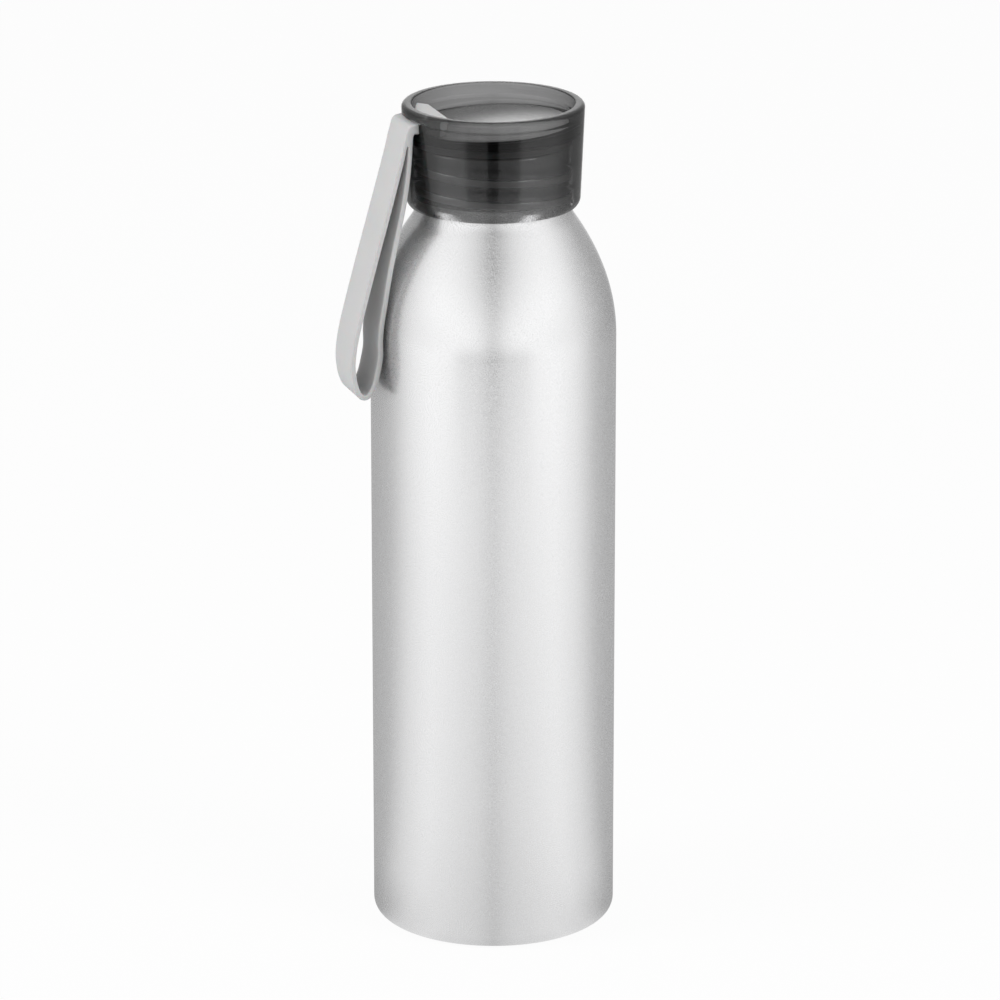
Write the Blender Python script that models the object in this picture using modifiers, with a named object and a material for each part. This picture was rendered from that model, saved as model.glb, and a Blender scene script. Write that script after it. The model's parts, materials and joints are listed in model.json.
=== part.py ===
"""Aluminium drinking bottle with a smoke-grey screw lid and a silicone carry strap.

The bottle stands on z = 0 with its axis on +Z. The strap leaves the lid towards -X.
All sizes are in metres. Run with: blender --background --python part.py
"""

from math import acos, asin, atan2, cos, hypot, pi, radians, sin, sqrt

import bmesh
import bpy
from mathutils import Matrix, Vector

MM = 0.001

# Turning: facets round the axis, and points along the arcs of a profile
segments = 64
wide_arc_points = 6
corner_arc_points = 5
small_arc_points = 3
merge_distance = 0.01 * MM

# Clearance between pieces that touch on the real bottle
seat_gap = 0.3 * MM
# Overrun of every cutter past the wall that it cuts
cut_overrun = 2 * MM

# Bottle shell: one impact-extruded aluminium piece
body_radius = 33 * MM
body_wall = 0.8 * MM
floor_wall = 1.2 * MM
base_corner = 4.2 * MM
foot_ring_width = 5 * MM
base_recess = 1.0 * MM
base_recess_radius = 1.0 * MM
cylinder_top = 164.6 * MM
shoulder_lower_radius = 51 * MM
shoulder_lower_turn = radians(20)
shoulder_upper_radius = 64 * MM
neck_radius = 20.2 * MM
neck_fillet = 1.5 * MM
neck_length = 18.0 * MM
bead_radius = 0.9 * MM

# Lid seal: a flat silicone washer between the mouth's bead and the lid
seal_thickness = 1.6 * MM
seal_edge = 0.3 * MM

# Screw lid: one moulded piece with a dished top, a skirt and a plug
thread_room = 1.1 * MM
skirt_wall = 2.05 * MM
skirt_flare = 1.05 * MM
skirt_rise = 0.95 * MM
skirt_corner = 3.0 * MM
skirt_lip_round = 0.4 * MM
rim_width = 2.7 * MM
rim_outer_round = 1.2 * MM
rim_inner_round = 0.5 * MM
recess_depth = 6.2 * MM
recess_ledge_depth = 3.1 * MM
recess_ledge_width = 0.5 * MM
recess_fillet = 0.8 * MM
plate_thickness = 2.0 * MM
plug_clearance = 0.4 * MM
plug_wall = 1.6 * MM
plug_depth = 4.0 * MM

# The lid goes over the neck with room for the thread, and its plug goes inside the mouth's bead
bore_radius = neck_radius + thread_room
lid_bottom_radius = bore_radius + skirt_wall
lid_top_radius = lid_bottom_radius + skirt_flare
plug_radius = neck_radius - 2 * bead_radius - plug_clearance
recess_radius = lid_top_radius - rim_width - recess_ledge_width

# Carry strap: one silicone moulding, made here as the anchor in the lid and the hanging loop
strap_width = 14 * MM
strap_thickness = 1.7 * MM
strap_edge = 0.35 * MM
tongue_thickness = 2.6 * MM
tongue_lift = 0.8 * MM
slot_round = 0.5 * MM
anchor_drop = 1.3 * MM
anchor_depth = 5.6 * MM
anchor_back_half_length = 11.1 * MM
anchor_front_half_length = 8.1 * MM
anchor_edge = 0.4 * MM
root_radius = 1.1 * MM
root_offset = 1.0 * MM
root_drop = 0.5 * MM
loop_opening = 5.5 * MM
loop_drop = 71.6 * MM
loop_apex_gap = 0.5 * MM
loop_steps = 5

# The loop hangs from its root beside the lid, and its inner strand rests on the body's side:
# how far each strand's middle line then stands off the root
inner_reach = body_radius + seat_gap + strap_thickness / 2 - lid_top_radius - root_offset
loop_spread = loop_opening + strap_thickness
outer_reach = inner_reach + loop_spread

# The strap's middle line as pairs of shares. The outer strand from the root down, as shares of
# outer_reach away from the bottle and of loop_drop
outer_strand_shares = (
    (0.080, 0.055), (0.146, 0.117), (0.310, 0.250), (0.482, 0.387), (0.650, 0.522), (0.814, 0.657),
    (0.920, 0.750), (0.977, 0.815), (1.000, 0.868),
)
# The round end, as shares of loop_spread: outwards from the inner strand, and up from the lowest point
round_end_shares = (
    (0.986, 0.882), (0.917, 0.465), (0.771, 0.118), (0.604, 0.000),
    (0.424, 0.070), (0.257, 0.326), (0.132, 0.715),
)
# The inner strand up to the root, as shares of inner_reach and of loop_drop
inner_strand_shares = (
    (1.000, 0.850), (0.997, 0.790), (0.960, 0.733), (0.842, 0.650), (0.703, 0.551), (0.552, 0.462),
    (0.383, 0.372), (0.221, 0.282), (0.098, 0.190), (0.033, 0.120), (0.000, 0.060),
)


def make_collection(name):
    collection = bpy.data.collections.new(name)
    bpy.context.scene.collection.children.link(collection)
    return collection


def make_material(name, color, roughness, metallic=0.0, transmission=0.0):
    """A Principled material for one sub-part."""
    material = bpy.data.materials.new(name)
    material.use_nodes = True
    shader = material.node_tree.nodes["Principled BSDF"]
    shader.inputs["Base Color"].default_value = (*color, 1.0)
    shader.inputs["Roughness"].default_value = roughness
    shader.inputs["Metallic"].default_value = metallic
    shader.inputs["Transmission Weight"].default_value = transmission
    return material


def arc(centre, radius, start, end, points):
    """Points on an arc in the (radius, height) plane, both ends included."""
    turns = [start + (end - start) * i / (points - 1) for i in range(points)]
    return [(centre[0] + radius * cos(a), centre[1] + radius * sin(a)) for a in turns]


def evaluated_copy(source, name, collection):
    """The source as the viewport evaluates it, as a plain mesh object in the same place."""
    graph = bpy.context.evaluated_depsgraph_get()
    mesh = bpy.data.meshes.new_from_object(source.evaluated_get(graph))
    work = bmesh.new()
    work.from_mesh(mesh)
    bmesh.ops.remove_doubles(work, verts=work.verts, dist=merge_distance)
    work.to_mesh(mesh)
    work.free()
    place = source.matrix_world.copy()
    bpy.data.objects.remove(source)
    piece = bpy.data.objects.new(name, mesh)
    piece.matrix_world = place
    collection.objects.link(piece)
    return piece


def shade(piece):
    """Smooth round faces, with the moulded and turned edges left sharp."""
    piece.data.shade_smooth()
    piece.data.set_sharp_from_angle(angle=radians(35))


def turned(name, profile, collection):
    """A profile of (radius, height) points, from the axis over the outside and back, turned about Z."""
    mesh = bpy.data.meshes.new(name)
    edges = [(i, i + 1) for i in range(len(profile) - 1)]
    mesh.from_pydata([(r, 0, z) for r, z in profile], edges, [])
    piece = bpy.data.objects.new(name + "_profile", mesh)
    collection.objects.link(piece)
    screw = piece.modifiers.new("Turn", "SCREW")
    screw.axis = "Z"
    screw.steps = segments
    screw.render_steps = segments
    screw.use_merge_vertices = True
    screw.merge_threshold = merge_distance
    screw.use_smooth_shade = True
    return evaluated_copy(piece, name, collection)


def flat_piece(name, outlines, thickness, place, collection):
    """A flat outline, with any holes, filled and thickened on both sides of its own plane."""
    curve = bpy.data.curves.new(name, "CURVE")
    curve.dimensions = "2D"
    curve.fill_mode = "BOTH"
    curve.extrude = thickness / 2
    for outline in outlines:
        spline = curve.splines.new("POLY")
        spline.points.add(len(outline) - 1)
        for point, (x, y) in zip(spline.points, outline):
            point.co = (x, y, 0, 1)
        spline.use_cyclic_u = True
    piece = bpy.data.objects.new(name + "_outline", curve)
    collection.objects.link(piece)
    piece.matrix_world = place
    bpy.context.view_layer.update()
    return evaluated_copy(piece, name, collection)


def round_edges(piece, width, steps):
    bevel = piece.modifiers.new("Edges", "BEVEL")
    bevel.width = width
    bevel.segments = steps
    bevel.limit_method = "ANGLE"
    bevel.angle_limit = radians(50)


def box_cutter(name, low, high, rounding, collection):
    """A wire box between two corners that only cuts."""
    bpy.ops.mesh.primitive_cube_add(size=1)
    cutter = bpy.context.active_object
    cutter.name = name
    for other in cutter.users_collection:
        other.objects.unlink(cutter)
    collection.objects.link(cutter)
    low, high = Vector(low), Vector(high)
    cutter.data.transform(Matrix.Translation((low + high) / 2) @ Matrix.Diagonal((*(high - low), 1)))
    round_edges(cutter, rounding, 2)
    cutter.hide_render = True
    cutter.display_type = "WIRE"
    return cutter


def combine(piece, tool, operation):
    boolean = piece.modifiers.new(tool.name, "BOOLEAN")
    boolean.operation = operation
    boolean.solver = "EXACT"
    boolean.object = tool


def shoulder_arcs(inset, neck):
    """The shoulder from the neck down to the cylinder, set in from the outer face by the wall."""
    lower_radius = shoulder_lower_radius - inset
    upper_radius = shoulder_upper_radius - inset
    fillet = neck_fillet + inset
    lower_centre = (body_radius - shoulder_lower_radius, cylinder_top)
    reach = shoulder_lower_radius - shoulder_upper_radius
    upper_centre = (
        lower_centre[0] + reach * cos(shoulder_lower_turn),
        lower_centre[1] + reach * sin(shoulder_lower_turn),
    )
    # The neck's fillet touches both the neck and the upper arc
    fillet_r = neck + fillet
    across = fillet_r - upper_centre[0]
    fillet_z = upper_centre[1] + sqrt((upper_radius + fillet) ** 2 - across**2)
    upper_turn = atan2(fillet_z - upper_centre[1], across)
    points = arc((fillet_r, fillet_z), fillet, pi, pi + upper_turn, small_arc_points)
    points += arc(upper_centre, upper_radius, upper_turn, shoulder_lower_turn, wide_arc_points)[1:]
    points += arc(lower_centre, lower_radius, shoulder_lower_turn, 0, wide_arc_points)[1:]
    return points


def bottle_shell(collection, material):
    """Thin wall from the rolled mouth bead down to the standing ring and the recessed base."""
    outer = shoulder_arcs(0, neck_radius)
    inner = shoulder_arcs(body_wall, neck_radius - body_wall)
    lip = outer[0][1] + neck_length
    bead_centre = (neck_radius - bead_radius, lip - bead_radius)
    bead_start = pi + asin((body_wall - bead_radius) / bead_radius)
    bead = arc(bead_centre, bead_radius, bead_start, 0, 2 * corner_arc_points)
    ring_outer = body_radius - base_corner
    ring_inner = ring_outer - foot_ring_width
    inner_corner = base_corner - body_wall
    step_outer = ring_inner + floor_wall / 2
    panel = ring_inner - base_recess_radius

    profile = [(0, base_recess + floor_wall), (panel, base_recess + floor_wall), (step_outer, floor_wall)]
    profile += arc((ring_outer, floor_wall + inner_corner), inner_corner, -pi / 2, 0, corner_arc_points)
    profile += inner[::-1]
    profile += bead
    profile += outer
    profile += arc((ring_outer, base_corner), base_corner, 0, -pi / 2, corner_arc_points)
    profile += [(ring_inner, 0)]
    profile += arc((panel, 0), base_recess_radius, 0, pi / 2, small_arc_points)[1:]
    profile += [(0, base_recess)]
    shell = turned("bottle_shell", profile, collection)
    shell.data.materials.append(material)
    shade(shell)
    shoulder_top = outer[small_arc_points - 1][1]
    return lip, shoulder_top


def lid_seal(collection, material, bottom):
    """The washer that the lid carries, clear of the plug inside and the skirt outside."""
    inner, outer = plug_radius + seat_gap, bore_radius - seat_gap
    top = bottom + seal_thickness
    profile = [
        (inner, bottom + seal_edge), (inner, top - seal_edge), (inner + seal_edge, top),
        (outer - seal_edge, top), (outer, top - seal_edge), (outer, bottom + seal_edge),
        (outer - seal_edge, bottom), (inner + seal_edge, bottom), (inner, bottom + seal_edge),
    ]
    seal = turned("lid_seal", profile, collection)
    seal.data.materials.append(material)
    shade(seal)
    return top


def screw_lid(collection, cutters, material, underside, shoulder_top):
    """The lid's dish, rim, skirt and plug, with the slot for the strap's tongue."""
    plate_top = underside + plate_thickness
    rim = plate_top + recess_depth
    bottom = shoulder_top + skirt_rise
    wall = recess_radius + recess_ledge_width
    ledge = rim - recess_ledge_depth
    corner_centre = (lid_bottom_radius - skirt_corner, bottom + skirt_corner)
    lip_turn = acos((bore_radius + skirt_lip_round - corner_centre[0]) / skirt_corner)
    skirt_foot = corner_centre[1] - skirt_corner * sin(lip_turn)
    plug_inner, plug_foot = plug_radius - plug_wall, underside - plug_depth

    profile = [(0, plate_top)]
    dish_corner = (recess_radius - recess_fillet, plate_top + recess_fillet)
    profile += arc(dish_corner, recess_fillet, -pi / 2, 0, small_arc_points)
    profile += [(recess_radius, ledge), (wall, ledge + recess_ledge_width)]
    inner_centre = (wall + rim_inner_round, rim - rim_inner_round)
    profile += arc(inner_centre, rim_inner_round, pi, pi / 2, small_arc_points)
    outer_centre = (lid_top_radius - rim_outer_round, rim - rim_outer_round)
    profile += arc(outer_centre, rim_outer_round, pi / 2, 0, corner_arc_points)
    profile += arc(corner_centre, skirt_corner, 0, -lip_turn, corner_arc_points)
    profile += [(bore_radius, skirt_foot + skirt_lip_round), (bore_radius, underside)]
    profile += [(plug_radius, underside), (plug_radius, plug_foot), (plug_inner, plug_foot)]
    profile += [(plug_inner, underside), (0, underside)]
    lid = turned("screw_lid", profile, collection)
    lid.data.materials.append(material)

    slot_low = plate_top + tongue_lift - seat_gap
    slot_high = slot_low + tongue_thickness + 2 * seat_gap
    half_slot = strap_width / 2 + seat_gap
    slot_inner = -recess_radius * cos(asin(half_slot / recess_radius)) + cut_overrun
    cutter = box_cutter(
        "strap_slot_cutter",
        (-lid_top_radius - cut_overrun, -half_slot, slot_low),
        (slot_inner, half_slot, slot_high),
        slot_round, cutters,
    )
    combine(lid, cutter, "DIFFERENCE")
    lid = evaluated_copy(lid, "screw_lid", collection)
    shade(lid)
    return plate_top, rim


def strap_anchor(collection, material, plate_top, rim):
    """The half-moon bar that lies in the lid's dish, and the tongue that leaves it through the slot."""
    back = recess_radius - seat_gap
    front = back - anchor_depth
    spread = asin(anchor_back_half_length / back)
    outline = arc((0, 0), back, pi - spread, pi + spread, 2 * wide_arc_points)
    outline += [(-front, -anchor_front_half_length), (-front, anchor_front_half_length)]
    low, high = plate_top + seat_gap, rim - anchor_drop
    place = Matrix.Translation((0, 0, (low + high) / 2))
    bar = flat_piece("strap_anchor", [outline], high - low, place, collection)

    half_width = strap_width / 2
    tongue_low = plate_top + tongue_lift
    hinge_x, _ = root_centre(plate_top)
    tongue_end = hinge_x + root_radius + seat_gap
    tongue = box_cutter(
        "strap_tongue",
        (tongue_end, -half_width, tongue_low),
        (-(front + back) / 2, half_width, tongue_low + tongue_thickness),
        strap_edge, bpy.data.collections["cutters"],
    )
    combine(bar, tongue, "UNION")
    anchor = evaluated_copy(bar, "strap_anchor", collection)
    round_edges(anchor, anchor_edge, 1)
    anchor.data.materials.append(material)
    shade(anchor)


def root_centre(plate_top):
    """Where the loop bends at the slot: the x and z of the swing axis, which runs along Y."""
    return -lid_top_radius - root_offset, plate_top + tongue_lift + tongue_thickness / 2 - root_drop


def smooth_path(points, steps):
    """A Catmull-Rom curve through the points, with a few steps between each two."""
    padded = [points[0], *points, points[-1]]
    path = []
    for a, b, c, d in zip(padded, padded[1:], padded[2:], padded[3:]):
        for i in range(steps):
            t = i / steps
            weights = (
                (-t + 2 * t**2 - t**3) / 2,
                (2 - 5 * t**2 + 3 * t**3) / 2,
                (t + 4 * t**2 - 3 * t**3) / 2,
                (-(t**2) + t**3) / 2,
            )
            path.append(tuple(sum(w * p[k] for w, p in zip(weights, (a, b, c, d))) for k in (0, 1)))
    return path + [points[-1]]


def offset_path(path, distance):
    """The path moved sideways: to its left for a positive distance."""
    moved = []
    for i, (x, y) in enumerate(path):
        (x0, y0), (x1, y1) = path[max(i - 1, 0)], path[min(i + 1, len(path) - 1)]
        length = hypot(x1 - x0, y1 - y0)
        moved.append((x - (y1 - y0) / length * distance, y + (x1 - x0) / length * distance))
    return moved


def body_side(height):
    """The outer radius of the shoulder, or of the cylinder under it, at a height."""
    shoulder = shoulder_arcs(0, neck_radius)
    for (upper_r, upper_z), (lower_r, lower_z) in zip(shoulder, shoulder[1:]):
        if lower_z < height <= upper_z:
            return lower_r + (upper_r - lower_r) * (height - lower_z) / (upper_z - lower_z)
    return body_radius if height <= cylinder_top else neck_radius


def strap_loop(collection, material, plate_top):
    """The hanging loop: two strands that part below the bend and meet in a teardrop's round end."""
    hinge_x, hinge_z = root_centre(plate_top)
    points = [(out * outer_reach, -down * loop_drop) for out, down in outer_strand_shares]
    points += [
        (inner_reach + out * loop_spread, up * loop_spread - loop_drop) for out, up in round_end_shares
    ]
    points += [(out * inner_reach, -down * loop_drop) for out, down in inner_strand_shares]
    # Where the body is wider than the strand's own fall, the strand lies on it
    clear = hinge_x + seat_gap + strap_thickness / 2
    middle = [(max(x, body_side(hinge_z + y) + clear), y) for x, y in smooth_path(points, loop_steps)]
    outside = offset_path(middle, strap_thickness / 2)
    inside = offset_path(middle, -strap_thickness / 2)
    lowest = min(range(len(middle)), key=lambda i: middle[i][1])

    # The bend's round root joins the two strands over the swing axis
    right = atan2(outside[0][1], outside[0][0])
    left = atan2(outside[-1][1], outside[-1][0])
    root = arc((0, 0), root_radius, left + 2 * pi, right + pi / 4, corner_arc_points)[1:]
    outline = outside + root

    # The hole starts where the two strands have parted by the apex gap, and runs round the end
    def parted(y):
        outer_x, inner_x = (
            min(side, key=lambda p: abs(p[1] - y))[0] for side in (inside[:lowest], inside[lowest:])
        )
        return outer_x - inner_x > loop_apex_gap

    hole = [p for p in inside if p[1] < -loop_drop / 2 or parted(p[1])]

    # Local x points away from the bottle, local y up and local z along the swing axis
    turn = Matrix(((-1, 0, 0), (0, 0, 1), (0, 1, 0))).to_4x4()
    place = Matrix.Translation((hinge_x, 0, hinge_z)) @ turn
    loop = flat_piece("strap_loop", [outline, hole], strap_width, place, collection)
    round_edges(loop, strap_edge, 1)
    loop.data.materials.append(material)
    shade(loop)


def main():
    for thing in list(bpy.data.objects):
        bpy.data.objects.remove(thing)
    parts, cutters = make_collection("aluminium_bottle"), make_collection("cutters")
    aluminium = make_material("satin_aluminium", (0.78, 0.78, 0.79), 0.3, metallic=1.0)
    smoke = make_material("smoke_plastic", (0.17, 0.17, 0.18), 0.08, transmission=0.8)
    silicone = make_material("grey_silicone", (0.61, 0.61, 0.61), 0.55)
    clear_silicone = make_material("seal_silicone", (0.72, 0.72, 0.72), 0.5)

    lip, shoulder_top = bottle_shell(parts, aluminium)
    seal_top = lid_seal(parts, clear_silicone, lip + seat_gap)
    plate_top, rim = screw_lid(parts, cutters, smoke, seal_top + seat_gap, shoulder_top)
    strap_anchor(parts, silicone, plate_top, rim)
    strap_loop(parts, silicone, plate_top)
    print("mouth at %.2f mm, rim at %.2f mm" % (lip / MM, rim / MM))


if __name__ == "__main__":
    main()
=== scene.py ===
"""Looks of an aluminium drinking bottle with a smoke-grey screw lid and a silicone carry strap.

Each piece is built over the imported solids: the satin shell, the thread on its neck, the clear lid, its
seal and the strap in one moulding. Everything is in metres, +Z up, with the bottle standing on z = 0.
"""

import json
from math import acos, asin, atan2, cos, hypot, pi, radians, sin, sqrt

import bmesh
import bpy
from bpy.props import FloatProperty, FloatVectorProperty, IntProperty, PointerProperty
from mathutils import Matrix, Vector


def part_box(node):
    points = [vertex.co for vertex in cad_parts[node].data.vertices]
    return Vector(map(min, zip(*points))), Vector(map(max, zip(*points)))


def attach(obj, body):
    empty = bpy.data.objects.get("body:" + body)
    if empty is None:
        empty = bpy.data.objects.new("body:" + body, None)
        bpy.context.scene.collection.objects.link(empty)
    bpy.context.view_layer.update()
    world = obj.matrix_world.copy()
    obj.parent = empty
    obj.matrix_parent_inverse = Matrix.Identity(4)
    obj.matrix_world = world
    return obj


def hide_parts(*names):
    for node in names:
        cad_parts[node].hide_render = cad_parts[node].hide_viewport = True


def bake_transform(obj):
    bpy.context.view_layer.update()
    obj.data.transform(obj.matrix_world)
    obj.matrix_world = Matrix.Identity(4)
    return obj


bl_info = {
    "name": "Aluminium bottle",
    "version": (1, 0, 0),
    "blender": (4, 5, 0),
    "location": "3D View > Sidebar > Bottle",
    "description": "Builds a drinking bottle with a screw lid and a carry strap, and a plain studio round it",
    "category": "Object",
}

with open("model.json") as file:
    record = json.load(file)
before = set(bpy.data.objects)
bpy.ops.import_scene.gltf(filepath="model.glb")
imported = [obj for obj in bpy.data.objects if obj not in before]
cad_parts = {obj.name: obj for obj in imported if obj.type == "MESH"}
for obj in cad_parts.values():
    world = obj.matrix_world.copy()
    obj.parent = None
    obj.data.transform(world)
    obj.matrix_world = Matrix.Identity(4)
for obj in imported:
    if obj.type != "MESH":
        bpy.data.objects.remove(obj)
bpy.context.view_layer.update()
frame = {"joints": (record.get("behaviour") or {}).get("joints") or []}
_, shell_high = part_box("bottle_shell")
lid_low, lid_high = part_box("screw_lid")
seal_low, seal_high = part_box("lid_seal")
anchor_low, anchor_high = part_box("strap_anchor")
loop_low, loop_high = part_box("strap_loop")
swing_x, _, swing_z = next(j["pos_m"] for j in frame["joints"] if j["name"] == "strap_swing")

MM = 0.001
# Points nearer than this become one
WELD = 0.002 * MM
# Faces round the stage and the shapes that only cut
STAGE_SEGMENTS = 96
# Play that the solids have in the slot and round the plug
SEAT_GAP = 0.3 * MM
SLOT_ROUND = 0.5 * MM
PLUG_CHAMFER = 0.3 * MM
# Height of the tongue's middle over the swing axis
TONGUE_RISE = 0.5 * MM
# The bar in the dish: the length of the anchor's solid behind it, half the width of its straight front, and
# its gaps to the dish's floor and fillet
BAR_BACK = 3.2 * MM
BAR_FRONT = 8.1 * MM
BAR_LIFT = 0.1 * MM
BAR_PLAY = 0.15 * MM
# Gap between the strap's strands where their hole ends
LEAST_OPENING = 0.12 * MM


def size(name, description, default):
    """A length that can be set in the sidebar."""
    return FloatProperty(name=name, description=description, default=default, unit="LENGTH", precision=5)


def tint(name, description, default):
    """A colour that can be set in the sidebar."""
    return FloatVectorProperty(
        name=name, description=description, default=default, subtype="COLOR", size=3, min=0, max=1
    )


def share(name, description, default):
    """A share from 0 to 1 that can be set in the sidebar."""
    return FloatProperty(name=name, description=description, default=default, min=0, max=1, subtype="FACTOR")


def angle(name, description, degrees):
    """An angle that can be set in the sidebar."""
    return FloatProperty(name=name, description=description, default=radians(degrees), subtype="ANGLE")


class ShellSettings(bpy.types.PropertyGroup):
    """Sizes and finish of the aluminium shell"""

    wall: size("Wall", "Thickness of the drawn wall", 0.8 * MM)
    floor: size("Floor", "Thickness of the base", 1.2 * MM)
    base_corner: size("Base corner", "Round between the base and the side", 3.7 * MM)
    foot_ring: size("Foot ring", "Width of the flat ring that the bottle stands on", 5.5 * MM)
    recess: size("Base recess", "Height of the base panel over the ring", 1.0 * MM)
    cylinder_top: size("Cylinder top", "Height where the straight side ends", 164.6 * MM)
    lower_radius: size("Lower shoulder radius", "Radius of the arc next to the side", 51.0 * MM)
    lower_turn: angle("Lower shoulder turn", "Angle of the arc next to the side", 20)
    upper_radius: size("Upper shoulder radius", "Radius of the arc under the neck", 64.0 * MM)
    neck_radius: size("Neck radius", "Outer radius of the neck", 20.2 * MM)
    neck_fillet: size("Neck fillet", "Fillet between the neck and the shoulder", 10.0 * MM)
    bead: size("Mouth bead", "Radius of the rolled bead at the mouth", 0.9 * MM)
    segments: IntProperty(name="Segments", description="Faces round the shell", default=256, min=16)
    colour: tint("Aluminium", "Colour of the bare metal", (0.90, 0.90, 0.905))
    satin: share("Satin", "Roughness of the blasted face's smooth grains", 0.25)
    dull: share("Dull", "Roughness of the blasted face's dull grains", 0.5)
    machined: share("Machined", "Roughness of the turned neck", 0.2)
    # Painted shade: the turned neck, which sits under the lid, is painted darker than the blasted face
    painted_neck_shade: share("Neck shade", "Brightness of the turned neck beside the blasted face", 0.5)
    turned_from: size("Turned from", "Height of the turned neck's lower end over the fillet", 0.9 * MM)


class ThreadSettings(bpy.types.PropertyGroup):
    """Sizes of the screw thread on the neck and in the lid"""

    pitch: size("Pitch", "Rise of the thread in one turn", 6.0 * MM)
    turns: FloatProperty(name="Turns", description="Turns of each thread", default=1.75, min=0.25)
    start: size("Start", "Height of the neck thread's lower end", 203.6 * MM)
    turned_by: angle("Turned by", "Where the threads begin round the axis", 0)
    height: size("Neck ridge", "How far the neck's ridge stands out", 0.55 * MM)
    rounding: size("Neck ridge round", "Round of the neck ridge's edges", 0.15 * MM)
    lid_height: size("Lid ridge", "How far the lid's ridge stands out", 0.3 * MM)
    lid_rounding: size("Lid ridge round", "Round of the lid ridge's edges", 0.06 * MM)
    half_width: size("Ridge half width", "Half of a ridge's width along the axis", 0.95 * MM)
    crest: share("Crest", "Width of the flat crest as a share of the ridge's foot", 0.82)
    lead_in: share("Lead-in", "Share of the thread over which each end fades", 0.06)
    steps: IntProperty(name="Steps", description="Steps along one turn", default=128, min=16)


class LidSettings(bpy.types.PropertyGroup):
    """Sizes and finish of the smoke-grey lid"""

    bore: size("Bore radius", "Radius inside the skirt", 21.3 * MM)
    foot_radius: size("Foot radius", "Outer radius at the skirt's foot", 23.35 * MM)
    skirt_corner: size("Skirt corner", "Round of the skirt's outer foot", 3.0 * MM)
    skirt_lip: size("Skirt lip", "Round of the skirt's inner foot", 0.4 * MM)
    skirt_cut: size("Skirt's flat end", "Height that the flat end takes off the outer round", 0.55 * MM)
    rim_width: size("Rim width", "Width of the flat rim", 2.7 * MM)
    rim_outer: size("Rim's outer round", "Round of the rim's outer edge", 1.2 * MM)
    rim_inner: size("Rim's inner round", "Round of the rim's inner edge", 0.5 * MM)
    recess: size("Dish depth", "Depth of the dish under the rim", 5.9 * MM)
    draft: size("Draft", "How far the dish's wall leans in from the rim to its shoulder", 0.1 * MM)
    step_depth: size("Dish shoulder", "Depth where the soft shoulder on the dish's wall starts", 2.7 * MM)
    step_drop: size("Dish shoulder's height", "Height over which the wall steps in", 1.3 * MM)
    step_width: size("Dish shoulder's width", "How far the wall steps in at its shoulder", 0.35 * MM)
    floor_rise: share("Dish slope", "Rise of the dish's floor away from the slot, to drain it", 0.04)
    dish_fillet: size("Dish fillet", "Fillet round the dish's floor", 1.3 * MM)
    plate: size("Plate", "Thickness of the dish's floor", 2.3 * MM)
    plug_radius: size("Plug radius", "Outer radius of the sealing plug", 18.0 * MM)
    plug_wall: size("Plug wall", "Thickness of the sealing plug", 1.6 * MM)
    plug_depth: size("Plug depth", "Depth of the sealing plug", 4.0 * MM)
    seal_edge: size("Seal edge", "Round of the seal's edges", 0.35 * MM)
    seal_colour: tint("Seal", "Colour of the seal", (0.3, 0.3, 0.3))
    segments: IntProperty(name="Segments", description="Faces round the lid", default=192, min=16)
    smoke: tint("Smoke", "Colour that the plastic lets through", (0.05, 0.05, 0.053))
    depth: FloatProperty(name="Smoke density", description="Absorption for each metre", default=500.0, min=0)
    gloss: share("Gloss", "Roughness of the moulded faces", 0.03)
    frost: share("Frost", "Share of the dish's floor that is matt instead of clear", 0.85)


class StrapSettings(bpy.types.PropertyGroup):
    """Sizes and finish of the silicone strap"""

    thickness: size("Thickness", "Thickness of each strand", 1.45 * MM)
    edge: size("Edge", "Round of the strap's edges", 0.4 * MM)
    slimmer: share("Slimmer top", "Share by which the strands' inner halves are thinner at the top", 0.25)
    opening: size("Opening", "Widest gap between the strands", 6.2 * MM)
    clear: size("Clearance", "Gap between the strap and the shell", 0.15 * MM)
    tongue: size("Tongue", "Thickness of the tongue in the slot", 2.6 * MM)
    colour: tint("Silicone", "Colour of the silicone", (0.66, 0.66, 0.66))
    matt: share("Matt", "Roughness of the silicone", 0.5)


class StudioSettings(bpy.types.PropertyGroup):
    """The camera, the floor and the light"""

    distance: size("Distance", "From the bottle's axis to the camera, level", 1500 * MM)
    height: size("Height", "Height of the camera", 595 * MM)
    azimuth: angle("Azimuth", "Where the camera stands round the bottle", -18.8)
    pitch: angle("Pitch", "How far the camera looks down", 17.65)
    lens: FloatProperty(name="Lens", description="Focal length in millimetres", default=209.3, min=10)
    aside: size("Aside", "How far the camera's axis passes to the right of the bottle's", 1.8 * MM)
    floor_radius: size("Floor", "Radius of the floor", 3000 * MM)
    level: FloatProperty(name="Level", description="Strength of the studio's light", default=1.0, min=0)
    fill: share("Fill", "Share of the studio's light that falls on matt faces, beside the two lamps", 0.34)
    white: share("White floor", "Share of the floor that glows white where it is seen directly", 0.96)
    lamp: FloatProperty(name="Lamps", description="Power of each lamp in watts", default=9.2, min=0)
    lamp_width: size("Lamp width", "Width of each lamp's face", 500 * MM)
    lamp_length: size("Lamp length", "Length of each lamp's face", 1100 * MM)
    lamp_away: size("Lamp distance", "From the bottle's axis to each lamp, level", 1100 * MM)
    lamp_lift: size("Lamp lift", "Height of each lamp over the floor", 850 * MM)
    lamp_aim: size("Lamp aim", "Height on the bottle's axis that each lamp faces", 120 * MM)


def arc(centre, radius, start, end, points):
    """Points on an arc in the (radius, height) plane, both ends included."""
    turns = [start + (end - start) * i / (points - 1) for i in range(points)]
    return [(centre[0] + radius * cos(a), centre[1] + radius * sin(a)) for a in turns]


def new_object(name, data):
    """A new object at the origin, of a mesh, curve, lamp or camera."""
    piece = bpy.data.objects.new(name, data)
    bpy.context.scene.collection.objects.link(piece)
    return piece


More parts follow.
